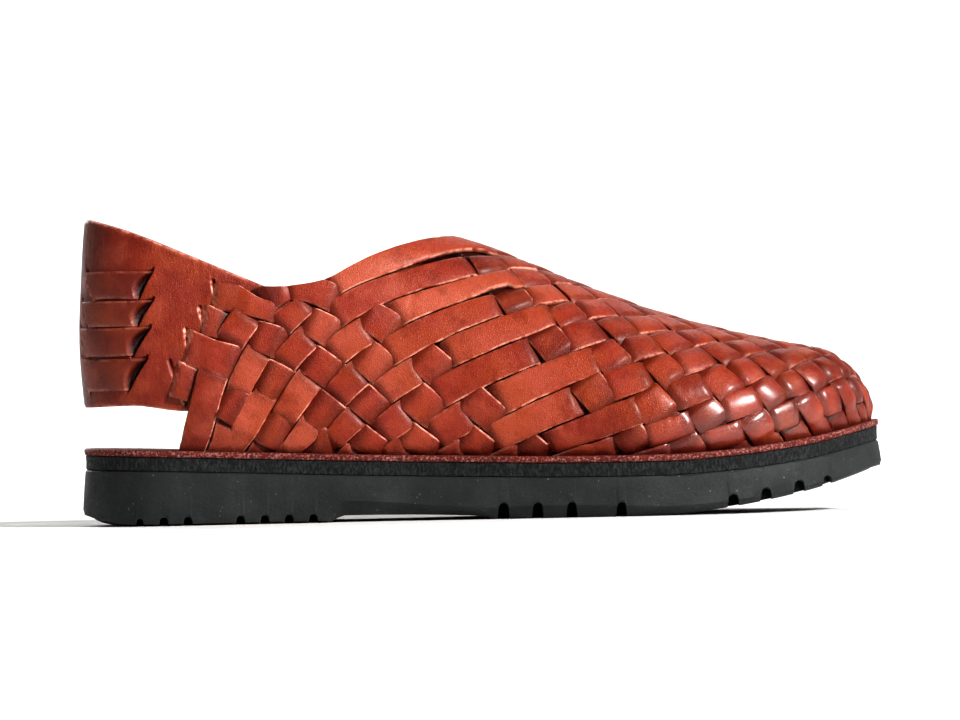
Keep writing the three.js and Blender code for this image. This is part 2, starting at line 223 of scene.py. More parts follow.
# Creases in the leather: both ends as x and share of the side, width and depth
CREASES = table(
    "x share to_x to_share width depth",
    (166, 0.1, 169, 0.22, 1.1, 0.35),
    (171, 0.11, 173, 0.24, 1.0, 0.3),
    (176, 0.13, 177, 0.25, 1.2, 0.35),
    (209, 0.16, 214, 0.25, 1.1, 0.4),
    (212, 0.14, 218, 0.22, 0.9, 0.3),
    (59, 0.1, 66, 0.24, 1.3, 0.4),
    (46, 0.05, 52, 0.18, 1.2, 0.4),
    (93, 0.42, 97, 0.5, 1.0, 0.3),
    (118, 0.52, 121, 0.6, 1.0, 0.25),
    (104, 0.72, 107, 0.82, 1.2, 0.25),
    (112, 0.75, 114, 0.86, 1.2, 0.25),
    (190, 0.45, 194, 0.55, 1.1, 0.25),
    (232, 0.3, 236, 0.4, 1.1, 0.35),
    (151, 0.3, 155, 0.38, 1.0, 0.25),
)
CREASE_RIDGE, CREASE_RIDGE_AT = 0.4, 1.8
# Strips that are dyed darker than the rest
DARK_STRIPS = {0: 0.4, 1: 0.42, -1: 0.1, -2: 0.2, -3: 0.1, -4: 0.25}

# Side view of the collar, where the weave stops
COLLAR_END = 138
COLLAR = table(
    "x z",
    (30, 87.0),
    (49.5, 85.6),
    (60, 84.2),
    (72, 83.5),
    (82, 84.3),
    (90, 86.2),
    (97, 89.8),
    (106, 94.0),
    (115, 97.0),
    (124, 99.2),
    (131, 99.9),
    (COLLAR_END, 99.5),
)

# One strip of the weave
STRIP_THICKNESS = 1.7
STRIP_FREE_HALF = 5.4
STRIP_MOST_HALF = 8.6
STRIP_LEAST_HALF = 1.0
STRIP_SEAM = 0.5
GAP_CLOSES = 2
STRIP_STEP = 0.8
STRIP_CROWN = 0.42
TOE_CROWN = 1.0
EDGE_WANDER, EDGE_WANDER_SIZE = 0.18, 7
RIPPLE, RIPPLE_SIZE = 0.1, 11
FOOT_OVERLAP = 0.2
FOOT_TUCK = 1.0
WEAVE_DEPTH = 1.7
WEAVE_RISE = 1.25
WEAVE_REACH = 5.6
WEAVE_SLOPE = 5.2
INNER_SHIFT = 3.5
SLIT_SLANT = 3.4
SLIT_FADE = 14
SLIT_WIDEN = 2.2
SLIT_DIVE = 3.4
SLIT_DEEPEST = WALL + GAP + STRAP_THICKNESS - 0.5
# Tones and shades of the strips
TONE_LEAST, TONE_SPREAD, TONE_POWER = 0.05, 0.55, 1.6
TOE_TONE = 0.5
TOP_TONE = 0.5
TOE_RIM = 0.5
SUNK_SHADE, SUNK_LEVEL, SUNK_GROWTH = 0.92, 0.3, 0.8
FOOT_SHADE = 0.7
ENDS_SHADE = 0.42
ENDS_REACH = 5
SLIT_RIM, SLIT_RIM_AT, SLIT_RIM_WIDTH = 0.8, 3.2, 0.8
GLOSS_LEAST = 0.06
TIP_DULLS = 0.7
# Where these set in: a start, and the length over which they grow, as x, share, column or height
TOE_CROWN_FROM = (170, 60)
TOE_TONE_FROM = (140, 80)
TOP_TONE_FROM = (0.6, 0.35)
FOOT_SHADE_FROM = (0.4, 2.6)
FOOT_TUCK_FROM = (0, 0.04)
FOOT_OVERLAP_FROM = (1.8, 0.15)
INNER_SHARE_FROM = (1.05, 0.3)
INNER_SHIFT_FROM = (90, 40)
INNER_SHIFT_TO = (285, -40)
SLIT_RISE_FROM = (1.5, 3.2)
GLOSS_BELOW = (8, 18)
GLOSS_FROM = (190, 40)
GLOSS_TIP_FROM = (255, 15)

# Steps of the modelled surfaces
CHART_COLUMNS = 330
CHART_ROWS = 120
FOOT_ROWS = 14
FOOT_STEP = 0.6
SOLE_STATIONS = 220
LINE_STEPS = 540
CURVE_STEPS = 240
RIDGE_STEPS = 4000
RING_STEPS = 801
OUTLINE_STEPS = 2000
SHARE_SCALE = 100
ROOM_SMOOTHING = 9
STRAP_COLUMNS = 440
STRAP_ROWS = 104


def read(source, column, at, key="along"):
    """A table's column at places between its rows, on a smooth curve that doesn't overshoot."""
    keys, values = source[key], source[column]
    span = np.diff(keys)
    slope = np.diff(values) / span
    tangent = np.concatenate([slope[:1], np.zeros(len(keys) - 2), slope[-1:]])
    for k in range(1, len(keys) - 1):
        if slope[k - 1] * slope[k] > 0:
            early = 2 * span[k] + span[k - 1]
            late = span[k] + 2 * span[k - 1]
            tangent[k] = (early + late) / (early / slope[k - 1] + late / slope[k])
    place = np.clip(at, keys[0], keys[-1])
    i = np.clip(np.searchsorted(keys, place) - 1, 0, len(span) - 1)
    t = (place - keys[i]) / span[i]
    bend = span[i] * t * (1 - t) * (tangent[i] * (1 - t) - tangent[i + 1] * t)
    return values[i] + (values[i + 1] - values[i]) * ease(t) + bend


def ease(t):
    """0 to 1 with a soft start and a soft stop."""
    t = np.clip(t, 0, 1)
    return t * t * (3 - 2 * t)


def fade(value, start, over):
    """0 up to the start, then growing softly to 1 over the given length."""
    return ease((value - start) / over)


def hump(value, middle, width):
    """1 at the middle, falling softly to 0 on both sides."""
    return np.exp(-(((value - middle) / width) ** 2))


def lerp(a, b, t):
    return a + (b - a) * t


def unit(vectors):
    return vectors / np.maximum(np.linalg.norm(vectors, axis=-1, keepdims=True), 1e-9)


def run_length(points):
    """Length along a line of points, from its first point."""
    steps = np.linalg.norm(np.diff(points, axis=0), axis=1)
    return np.concatenate([[0], np.cumsum(steps)])


def distance_to(points, start, end):
    """Distance of points from a straight slit, and the share of the slit nearest to each."""
    run = end - start
    share = np.clip(((points - start) @ run) / (run @ run), 0, 1)
    return np.linalg.norm(points - start - share[..., None] * run, axis=-1), share


def wander(places, seed, size):
    """Smooth random wander between about -1 and 1 along a line, with bends of about the given size."""
    rng = np.random.default_rng(seed)
    knots = np.arange(places.min() - 2 * size, places.max() + 3 * size, size)
    source = {"place": knots, "value": rng.uniform(-1, 1, len(knots))}
    return read(source, "value", places, "place")


def round_off(distance, rounding):
    """0 at an end, growing on a superellipse to 1 where the rounding is over."""
    length, power = rounding
    short = 1 - np.clip(distance / length, 0, 1)
    return (1 - short**power) ** (1 / power)


def plan(x, inset):
    """Middle line and half width of an outline that lies the given distance inside the outsole's."""
    half = read(PLAN, "half", x / LENGTH) * BALL_WIDTH - inset
    heel = round_off(x - inset, (HEEL_ROUND[0] - inset, HEEL_ROUND[1]))
    toe = round_off(LENGTH - inset - x, (TOE_ROUND[0] - inset, TOE_ROUND[1]))
    return read(PLAN, "axis", x / LENGTH) * BALL_WIDTH, half * heel * toe


def bed_height(x):
    return read(SOLE, "bed", x / LENGTH)


def section(x):
    """The upper's cross section at x, as in the CAD part."""
    front = np.clip((x - UPPER_INSET_FROM) / UPPER_INSET_OVER, 0, 1)
    axis, half = plan(x, lerp(UPPER_INSET_REAR, UPPER_INSET_FRONT, front))
    lean = read(SECTIONS, "lean", x / LENGTH) * 2 * half
    feather = bed_height(x) + GAP
    toe = round_off(LENGTH - UPPER_INSET_FRONT - x, TOE_CAP_ROUND)
    ridge = read(SECTIONS, "ridge", x / LENGTH) * INSTEP_HEIGHT
    return {
        "feather": feather,
        "middle": axis + lean,
        "outer": half + lean,
        "inner": half - lean,
        "widest": feather + TUCK_RISE * toe,
        "ridge": lerp(feather, ridge, toe),
        "power": read(SECTIONS, "power", x / LENGTH),
    }


def upper_point(x, turn):
    """A point of the upper's outer face: turn from 0 at the outer feather edge to 1 at the inner one."""
    s = section(x)
    angle = lerp(-TUCK_TURN, math.pi + TUCK_TURN, turn)
    across, up = np.cos(angle), np.sin(angle)
    side = np.where(across > 0, -s["outer"], s["inner"])
    y = s["middle"] + side * np.abs(across) ** (2 / s["power"])
    high = lerp(s["widest"], s["ridge"], np.clip(up, 0, 1) ** (2 / s["power"]))
    low = lerp(s["widest"], s["feather"], np.clip(-up, 0, 1) / math.sin(TUCK_TURN))
    return np.stack([x + 0 * turn, y, np.where(up > 0, high, low)], -1)


def strap_back(z):
    """x of the strap's hindmost line at a height."""
    return STRAP_BULGE + STRAP_RECEDE * ((z - STRAP_BULGE_HEIGHT) / STRAP_RECEDE_OVER) ** 2


def strap_point(turn, z, inset):
    """A point of the heel strap: turn from -1 at its outer end round the back to 1 at its inner end."""
    back = strap_back(z) + inset
    x = lerp(back, STRAP_FRONT, 1 - np.cos(np.abs(turn) * math.pi / 2))
    s = section(np.maximum(x, HEEL_ROUND[0]))
    share = np.clip((z - s["widest"]) / (s["ridge"] - s["widest"]), 0, 1)
    narrow = (1 - share ** s["power"]) ** (1 / s["power"])
    half = np.where(turn < 0, s["outer"], s["inner"]) * narrow - WALL - GAP - inset
    rounded = round_off(x - back, (HEEL_ROUND[0] - inset, HEEL_ROUND[1]))
    return np.stack([x, s["middle"] + np.where(turn < 0, -half, half) * rounded, z + 0 * x], -1)


outline_x = np.linspace(0, LENGTH, OUTLINE_STEPS)
outline_axis, outline_half = plan(outline_x, 0)
FRAME_SHIFT = np.array(
    [-LENGTH / 2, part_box("outsole")[0].y * 1000 - (outline_axis - outline_half).min(), 0]
)


def to_frame(points):
    """Millimetres in the shoe's axes to metres in the CAD frame."""
    return (points + FRAME_SHIFT) / 1000


def make_piece(name, points, faces, material, replaced, layers=None, crease=35):
    """A closed mesh piece on the CAD body, with its named point layers for the material."""
    mesh = bpy.data.meshes.new(name)
    mesh.from_pydata(to_frame(points).tolist(), [], faces)
    for layer, values in (layers or {}).items():
        mesh.attributes.new(layer, "FLOAT", "POINT").data.foreach_set("value", values.astype(np.float32))
    shape = bmesh.new()
    shape.from_mesh(mesh)
    bmesh.ops.remove_doubles(shape, verts=shape.verts, dist=1e-6)
    bmesh.ops.recalc_face_normals(shape, faces=shape.faces)
    shape.to_mesh(mesh)
    shape.free()
    mesh.polygons.foreach_set("use_smooth", np.ones(len(mesh.polygons), bool))
    mesh.set_sharp_from_angle(angle=math.radians(crease))
    mesh.materials.append(material)
    piece = bpy.data.objects.new(name, mesh)
    bpy.context.scene.collection.objects.link(piece)
    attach(piece, "root")
    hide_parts(*replaced)


def grid_faces(columns, rows, closed=False):
    """Quads of a grid of points stored column by column, closed round its rows if asked."""
    i = np.arange(columns - 1)[:, None]
    j = np.arange(rows if closed else rows - 1)[None, :]
    after = (j + 1) % rows
    quads = [i * rows + j, (i + 1) * rows + j, (i + 1) * rows + after, i * rows + after]
    return np.stack(np.broadcast_arrays(*quads), -1).reshape(-1, 4).tolist()


def tube_faces(columns, rows):
    """Faces of a closed tube of rings, with a face over each end."""
    last = (columns - 1) * rows
    ends = [list(range(rows)), list(range(last, last + rows))]
    return grid_faces(columns, rows, closed=True) + ends


def flat_layers(layers):
    """Layers of a grid of points as plain lists of values."""
    return {key: value.ravel() for key, value in layers.items()}


class Shader:
    """A material's node tree in the making, with a Principled shader at its end."""

    def __init__(self, name, roughness, **constants):
        self.material = bpy.data.materials.new(name)
        self.material.use_nodes = True
        self.tree = self.material.node_tree
        self.surface = self.tree.nodes["Principled BSDF"]
        self.surface.inputs["Roughness"].default_value = roughness
        for socket, value in constants.items():
            self.surface.inputs[socket.replace("_", " ")].default_value = value
        self.coordinates = self.node("TexCoord", "Object", {})

    def put(self, socket, value):
        """Links a socket to another node's output, or sets it to a constant."""
        if isinstance(value, bpy.types.NodeSocket):
            self.tree.links.new(value, socket)
        else:
            socket.default_value = value

    def node(self, kind, result, inputs, **settings):
        """An output of a new node with the given inputs and settings."""
        made = self.tree.nodes.new("ShaderNode" + kind)
        for key, value in settings.items():
            setattr(made, key, value)
        for key, value in inputs.items():
            self.put(made.inputs[key], value)
        return made.outputs[result]

    def layer(self, name):
        return self.node("Attribute", "Fac", {}, attribute_name=name)

    def stretched(self, stretch):
        """The shoe's coordinates, squeezed along each axis, so that a texture is drawn out there."""
        return self.node("Mapping", "Vector", {"Vector": self.coordinates, "Scale": stretch})

    def noise(self, size, detail=3.0, roughness=0.55, vector=None):
        """Cloudy noise from 0 to 1 whose features are about the given size in millimetres."""
        shape = {"Scale": 1000 / size, "Detail": detail, "Roughness": roughness}
        return self.node("TexNoise", "Fac", {"Vector": vector or self.coordinates, **shape})

    def cells(self, size):
        """Distance from the borders in a pattern of cells of about the given size in millimetres."""
        inputs = {"Vector": self.coordinates, "Scale": 1000 / size}
        return self.node("TexVoronoi", "Distance", inputs, feature="DISTANCE_TO_EDGE")

    def span(self, value, low, high, to_low=0.0, to_high=1.0):
        """Value from low to high as a number from to_low to to_high, held at both ends."""
        inputs = {"Value": value, "From Min": low, "From Max": high, "To Min": to_low, "To Max": to_high}
        return self.node("MapRange", "Result", inputs, interpolation_type="SMOOTHSTEP")

    def math(self, operation, first, second):
        return self.node("Math", "Value", {0: first, 1: second}, operation=operation)

    def mix(self, factor, first, second):
        """Colour between two colours, which are the inputs 6 and 7 of a Mix node."""
        return self.node("Mix", 2, {"Factor": factor, 6: first, 7: second}, data_type="RGBA")

    def finish(self, colour, roughness=None, heights=()):
        """Links the colour, the roughness and a chain of bumps, each a height and its depth in mm."""
        linked = {"Base Color": colour}
        if roughness is not None:
            linked["Roughness"] = roughness
        for height, depth in heights:
            below = {"Normal": linked["Normal"]} if "Normal" in linked else {}
            bump = {"Strength": 1, "Distance": depth / 1000, "Height": height, **below}
            linked["Normal"] = self.node("Bump", "Normal", bump)
        for socket, value in linked.items():
            self.put(self.surface.inputs[socket], value)
        return self.material


def srgb(red, green, blue):
    """A colour given as screen values from 0 to 255."""
    value = np.array([red, green, blue]) / 255
    linear = np.where(value <= 0.04045, value / 12.92, ((value + 0.055) / 1.055) ** 2.4)
    return (*linear.tolist(), 1.0)


# Colours of the leather and the rubber
COGNAC = srgb(143, 51, 31)
COGNAC_PALE = srgb(174, 86, 62)
WINE = srgb(114, 34, 15)
AMBER = srgb(150, 62, 22)
UMBER = srgb(44, 12, 8)
CUT_EDGE = srgb(234, 166, 144)
SUEDE = srgb(168, 104, 80)
SUEDE_DARK = srgb(118, 62, 46)
INSOLE_EDGE = srgb(60, 27, 27)
INSOLE_SPECK = srgb(172, 124, 118)
RUBBER_BAND = srgb(16, 17, 18)
RUBBER_BAND_PALE = srgb(52, 53, 54)
RUBBER = srgb(46, 49, 48)
RUBBER_DARK = srgb(36, 38, 38)
RUBBER_SPECK = srgb(120, 124, 122)


def leather_material(name, drawn=0.0):
    """Burnished strap leather: tones from layers, painted shade from a layer, pale cut edges with a
    painted highlight on the strips' toe side, suede backs, fine grain and pores, and upright wrinkles of
    the given depth in mm where it is drawn round the heel."""
    s = Shader(name, 0.5, Specular_IOR_Level=0.3, Coat_Roughness=0.3, Coat_IOR=1.8)
    tone = s.layer("tone")
    clouds = s.noise(11, 3)
    mottle = s.noise(1.7, 4, 0.6)
    pebble = s.cells(0.8)
    colour = s.mix(s.span(tone, 0.0, 0.45), COGNAC_PALE, COGNAC)
    colour = s.mix(s.span(tone, 0.45, 1.0), colour, WINE)
    colour = s.mix(s.span(clouds, 0.42, 0.7, 0.0, 0.42), colour, COGNAC_PALE)
    colour = s.mix(s.span(s.noise(17, 2), 0.42, 0.66, 0.0, 0.55), colour, AMBER)
    colour = s.mix(s.span(s.noise(8, 3), 0.5, 0.72, 0.0, 0.5), colour, WINE)
    colour = s.mix(s.span(mottle, 0.5, 0.8, 0.0, 0.3), colour, UMBER)
    colour = s.mix(s.span(pebble, 0.0, 0.12, 0.16, 0.0), colour, UMBER)
    # Painted shade: darkens toward umber under crossing strips, at the strips' feet and ends, in seams
    # and slits, and on the strap's back.
    colour = s.mix(s.layer("painted_shade"), colour, UMBER)
    # Pale cut edges, broken up by wear; on the strips' toe side they are stronger, a painted highlight.
    worn = s.math("MULTIPLY", s.span(s.noise(2.4, 3), 0.3, 0.6), s.span(s.noise(7, 2), 0.3, 0.6))
    rim = s.math("MULTIPLY", s.layer("rim"), worn)
    colour = s.mix(rim, colour, CUT_EDGE)
    nap = s.mix(s.noise(0.6, 5, 0.7), SUEDE_DARK, SUEDE)
    back = s.layer("back")
    colour = s.mix(back, colour, nap)
    gloss = s.layer("gloss")
    rough = s.span(mottle, 0.25, 0.75, 0.42, 0.6)
    rough = s.math("SUBTRACT", rough, s.math("MULTIPLY", gloss, 0.22))
    rough = s.math("ADD", rough, s.math("MULTIPLY", s.math("MAXIMUM", back, rim), 0.3))
    s.put(s.surface.inputs["Coat Weight"], s.math("MULTIPLY", gloss, 0.9))
    grain = s.span(pebble, 0.0, 0.3)
    heights = [(s.noise(6, 2), 0.3), (s.noise(1.4, 4), 0.16), (grain, 0.07)]
    if drawn:
        heights.append((s.noise(1.5, 3, 0.6, s.stretched((1, 1, 0.2))), drawn))
    return s.finish(colour, rough, heights)


def insole_material():
    """Stained leather plate with a raw, fuzzy edge."""
    s = Shader("insole_leather", 0.75, Specular_IOR_Level=0.3)
    fibre = s.noise(0.9, 5, 0.7)
    colour = s.mix(s.noise(5, 3), INSOLE_EDGE, WINE)
    speck = s.span(s.noise(0.8, 4, 0.7), 0.47, 0.68)
    colour = s.mix(s.math("MULTIPLY", speck, s.layer("raw")), colour, INSOLE_SPECK)
    return s.finish(colour, s.span(fibre, 0.3, 0.7, 0.6, 0.85), ((s.noise(2, 4), 0.3), (fibre, 0.25)))


def band_material():
    """Black rubber band with a coarse upright grain on its edge."""
    s = Shader("midsole_rubber", 0.7, Specular_IOR_Level=0.35)
    upright = s.noise(0.9, 4, 0.65, s.stretched((1, 1, 0.45)))
    pits = s.noise(0.7, 3, 0.6)
    colour = s.mix(s.span(upright, 0.4, 0.7), RUBBER_BAND, RUBBER_BAND_PALE)
    return s.finish(colour, s.span(pits, 0.3, 0.7, 0.6, 0.8), ((upright, 0.7), (pits, 0.25)))


def rubber_material():
    """Charcoal moulded rubber with a fine grain and tiny light specks."""
    s = Shader("outsole_rubber", 0.62, Specular_IOR_Level=0.4)
    clouds = s.noise(14, 3)
    grain = s.noise(0.7, 4, 0.65)
    colour = s.mix(s.span(clouds, 0.35, 0.7), RUBBER_DARK, RUBBER)
    colour = s.mix(s.span(s.noise(1.1, 2, 0.5), 0.7, 0.78, 0.0, 0.7), colour, RUBBER_SPECK)
    return s.finish(colour, s.span(grain, 0.3, 0.7, 0.55, 0.75), ((grain, 0.16), (s.noise(4, 2), 0.2)))


class Wall:
    """The upper's outer face as a chart. A column is a length along the ridge line from the rear; a
    share runs from 0 at the outer feather edge over 1 at the ridge to 2 at the inner feather edge. Past
    both feather edges the chart goes on straight down into the sole."""

    REAR = 20

    def __init__(self):
        tip = LENGTH - UPPER_INSET_FRONT
        steps = 1 - np.sin(np.linspace(0, 1, RIDGE_STEPS) * math.pi / 2)
        self.ridge_x = tip - (tip - self.REAR) * steps
        self.ridge_run = run_length(upper_point(self.ridge_x, np.full_like(self.ridge_x, 0.5)))
        self.columns = np.linspace(0, self.ridge_run[-1] - 0.05, CHART_COLUMNS)
        turns = np.linspace(0, 1, RING_STEPS)
        x = np.interp(self.columns, self.ridge_run, self.ridge_x)
        rings = upper_point(x[:, None], turns[None, :])
        self.points = np.stack([self.even_ring(ring) for ring in rings])
        self.collar = np.array([self.collar_shares(*pair) for pair in zip(x, self.points)])
        along = np.gradient(self.points, axis=0)
        round_ = np.gradient(self.points, axis=1)
        self.normals = unit(np.cross(along, round_))

    @staticmethod
    def even_ring(ring):
        """A ring's points at even lengths from the outer feather to the ridge and on to the inner."""
        length = run_length(ring)
        top = length[len(length) // 2]
        rise = np.linspace(0, top, CHART_ROWS + 1)
        fall = np.linspace(top, length[-1], CHART_ROWS + 1)
        want = np.concatenate([rise, fall[1:]])
        even = np.stack([np.interp(want, length, ring[:, axis]) for axis in range(3)], -1)
        down = np.arange(1, FOOT_ROWS + 1)[:, None] * np.array([0, 0, -FOOT_STEP])
        return np.concatenate([even[:1] + down[::-1], even, even[-1:] + down])

    @staticmethod
    def collar_shares(x, ring):
        """Lowest and highest share of a ring between which the collar is open, both 1 ahead of it."""
        if x > COLLAR_END:
            return 1.0, 1.0
        z = read(COLLAR, "z", np.array(x), "x")
        shares = np.linspace(0, 1, CHART_ROWS + 1)
        middle = FOOT_ROWS + CHART_ROWS
        outer = np.interp(z, ring[FOOT_ROWS : middle + 1, 2], shares)
        inner = np.interp(z, ring[middle : middle + CHART_ROWS + 1, 2][::-1], shares)
        return outer, 2 - inner

    def below_collar(self, column, share):
        """Shares held out of the collar's opening."""
        low = np.interp(column, self.columns, self.collar[:, 0])
        high = np.interp(column, self.columns, self.collar[:, 1])
        return np.where(share < 1, np.minimum(share, low), np.maximum(share, high))

    def column(self, x):
        return np.interp(x, self.ridge_x, self.ridge_run)

    def at(self, field, column, share):
        """A field of the chart between its grid points."""
        u = np.interp(column, self.columns, np.arange(CHART_COLUMNS))
        u = np.clip(u, 0, CHART_COLUMNS - 1.001)
        v = np.clip(share * CHART_ROWS + FOOT_ROWS, 0, 2 * (CHART_ROWS + FOOT_ROWS) - 0.001)
        i, j = u.astype(int), v.astype(int)
        p, q = (u - i)[..., None], (v - j)[..., None]
        low = lerp(field[i, j], field[i + 1, j], p)
        high = lerp(field[i, j + 1], field[i + 1, j + 1], p)
        return lerp(low, high, q)

    def slopes(self, column, share):
        """Change of the place on the wall per unit of column and per unit of share."""
        step, part = 0.6, 0.006
        along = self.at(self.points, column + step, share) - self.at(self.points, column - step, share)
        round_ = self.at(self.points, column, share + part) - self.at(self.points, column, share - part)
        return along / (2 * step), round_ / (2 * part)


class Strip:
    """One strip of the weave: its middle line on the chart, and its crossings with the other family."""

    def __init__(self, wall, number, mirrored, column, share, slit):
        self.number = number
        self.hand = -1 if mirrored else 1
        self.slit = slit
        share = 2 - share if mirrored else share
        instep = fade(column, *INNER_SHIFT_FROM) * fade(column, *INNER_SHIFT_TO)
        column = column + INNER_SHIFT * fade(share, *INNER_SHARE_FROM) * instep
        length = run_length(wall.at(wall.points, column, share))
        self.length = np.arange(0, length[-1], STRIP_STEP)
        self.column = np.interp(self.length, length, column)
        self.share = np.interp(self.length, length, share)
        self.middle = wall.at(wall.points, self.column, self.share)
        self.crossings = []

    def over(self, other):
        """Whether this strip passes over a strip of the other family."""
        odd = (self.number + other.number) % 2 == 1
        return odd if self.hand > 0 else not odd

    def meet(self, other):
        """Notes where the two strips cross, on both of them."""
        first = np.stack([self.column, self.share * SHARE_SCALE], -1)
        second = np.stack([other.column, other.share * SHARE_SCALE], -1)
        r, s = np.diff(first, axis=0)[:, None], np.diff(second, axis=0)[None, :]
        apart = second[None, :-1] - first[:-1, None]
        cross = r[..., 0] * s[..., 1] - r[..., 1] * s[..., 0]
        cross = np.where(np.abs(cross) < 1e-12, 1e-12, cross)
        t = (apart[..., 0] * s[..., 1] - apart[..., 1] * s[..., 0]) / cross
        u = (apart[..., 0] * r[..., 1] - apart[..., 1] * r[..., 0]) / cross
        for i, j in np.argwhere((t >= 0) & (t < 1) & (u >= 0) & (u < 1)):
            sign = 1 if self.over(other) else -1
            self.crossings.append(((i + t[i, j]) * STRIP_STEP, sign))
            other.crossings.append(((j + u[i, j]) * STRIP_STEP, -sign))

    def lift(self, length):
        """Height of the strip's middle at lengths along it: up over some strips, down under others."""
        places = sorted(self.crossings)
        places = [(places[0][0] - 2 * WEAVE_REACH, 0), *places, (places[-1][0] + 2 * WEAVE_REACH, 0)]
        height = np.zeros_like(length)
        for (place, sign), (next_place, next_sign) in zip(places, places[1:]):
            reach = min((next_place - place) / 2, WEAVE_REACH)
            edge = next_place - reach if next_sign < 0 else place + reach
            height += (next_sign - sign) * ease((length - edge) / WEAVE_SLOPE + 0.5)
        return WEAVE_RISE * height

    def ends(self, length):
        """1 where the strip dips under another, fading out along the stretch that shows."""
        near = np.full_like(length, 100.0)
        for place, sign in self.crossings:
            if sign < 0:
                near = np.minimum(near, np.abs(length - place) - WEAVE_REACH)
        return 1 - ease(near / ENDS_REACH)

    def tones(self, length, seed):
        """A tone for each stretch that shows, changing where the strip is hidden under another."""
        rng = np.random.default_rng(seed)
        hidden = [place for place, sign in sorted(self.crossings) if sign < 0]
        values = rng.uniform(0, 1, len(hidden) + 1) ** TONE_POWER
        return values[np.searchsorted(hidden, length)]


def smooth_line(points):
    """Smooth curve through chart points, read evenly between them."""
    knots = np.arange(len(points))
    fine = np.linspace(0, len(points) - 1, CURVE_STEPS)
    x, share = np.array(points, float).T
    source = {"knot": knots, "x": x, "share": share}
    return read(source, "x", fine, "knot"), read(source, "share", fine, "knot")


def weave_family(wall, mirrored):
    """All strips of one family, from the chart's tables."""
    strips = []
    feet = FOOT_ROWS / CHART_ROWS
    quarters = np.linspace(0, 2, 9)
    fine = np.linspace(-feet, 2 + feet, LINE_STEPS)
    names = [name for name in CROSSING_STRIPS if name != "strip"]
    for k, number in enumerate(CROSSING_STRIPS["strip"]):
        column = wall.column(np.array([CROSSING_STRIPS[name][k] for name in names]))
        first = column[0] - (column[1] - column[0]) * feet / quarters[1]
        last = column[-1] + (column[-1] - column[-2]) * feet / quarters[1]
        line = {
            "share": np.concatenate([[-feet], quarters, [2 + feet]]),
            "column": np.concatenate([[first], column, [last]]),
        }
        column = read(line, "column", fine, "share")
        strips.append(Strip(wall, int(number), mirrored, column, fine, False))
    x, share = smooth_line(REAR_STRIP)
    strips.append(Strip(wall, 1, mirrored, wall.column(x), share, False))
    for number, points in FALLING_STRIPS.items():
        x, share = smooth_line(points)
        strips.append(Strip(wall, number, mirrored, wall.column(x), 2 - share, number < 0))
    return strips


def room_beside(strip, family, step):
    """Half width that a strip may take on one side: up to midway to the next strip of its family."""
    others = [other.middle for other in family if other.number == strip.number + step]
    room = np.full(len(strip.length), STRIP_FREE_HALF)
    if others:
        beside = np.concatenate(others)
        away = np.linalg.norm(strip.middle[:, None] - beside[None], axis=-1).min(1)
        seam = lerp(STRIP_SEAM, -FOOT_OVERLAP, fade(strip.share, *FOOT_OVERLAP_FROM))
        near = np.minimum(away / 2 - seam / 2, STRIP_MOST_HALF)
        room = np.where(away < 4 * STRIP_FREE_HALF, near, room)
    room = np.maximum(room, STRIP_LEAST_HALF)
    kernel = np.ones(ROOM_SMOOTHING) / ROOM_SMOOTHING
    room = np.convolve(np.pad(room, ROOM_SMOOTHING // 2, mode="edge"), kernel, mode="valid")
    for number, beside, start, end, width in zip(*GAPS.values()):
        if number == strip.number and beside == step:
            x = strip.middle[:, 0]
            room = room - width * ease((x - start) / (end - start)) * ease(1 + (end - x) / GAP_CLOSES)
    return room


def creases(wall, base):
    """Height of the creases at points of the wall: soft troughs, each with a low ridge on both sides."""
    height = np.zeros(base.shape[:-1])
    for x, share, to_x, to_share, width, depth in zip(*CREASES.values()):
        for start, end in ((share, to_share), (2 - share, 2 - to_share)):
            ends = [wall.at(wall.points, wall.column(a), b) for a, b in ((x, start), (to_x, end))]
            away = distance_to(base, *ends)[0] / width
            height += depth * (CREASE_RIDGE * hump(away, CREASE_RIDGE_AT, 1) - hump(away, 0, 1))
    return height


# Cross section of a strip: place across from -1 on the toe's side to 1 on the heel's, share of the
# thickness from the middle, and whether the point lies on a pale cut edge, on the suede back or in
# painted shade deep in a seam. The cut edges are pale on both sides, but on the toe's side they are
# painted paler still, a painted highlight, and on the heel's side they carry painted shade, as if lit
# from the toe's side.
STRIP_SECTION = table(
    "across height rim back dark",
    (-1.0, 0.28, 1.2, 0, 0),
    (-0.95, 0.45, 0.75, 0, 0),
    (-0.88, 0.5, 0, 0, 0),
    (-0.55, 0.5, 0, 0, 0),
    (0.0, 0.5, 0, 0, 0),
    (0.45, 0.5, 0, 0, 0),
    (0.8, 0.5, 0, 0, 0),
    (0.95, 0.47, 0.2, 0, 0.15),
    (1.0, 0.34, 0.2, 0, 0.5),
    (1.0, -0.1, 0, 0, 1),
    (1.0, -0.5, 0, 0.3, 1),
    (0.5, -0.5, 0, 1, 0),
    (0.0, -0.5, 0, 1, 0),
    (-0.5, -0.5, 0, 1, 0),
    (-1.0, -0.5, 0, 0.3, 1),
    (-1.0, -0.15, 0.4, 0, 0.5),
)


def burnish(points):
    """Gloss of the strips: rubbed shiny low on the sides of the toe."""
    x, z = points[..., 0], points[..., 2]
    low = 1 - fade(z - bed_height(x), *GLOSS_BELOW)
    ahead = fade(x, *GLOSS_FROM) * (1 - TIP_DULLS * fade(x, *GLOSS_TIP_FROM))
    return np.clip(lerp(GLOSS_LEAST, 1, low * ahead), 0, 1)


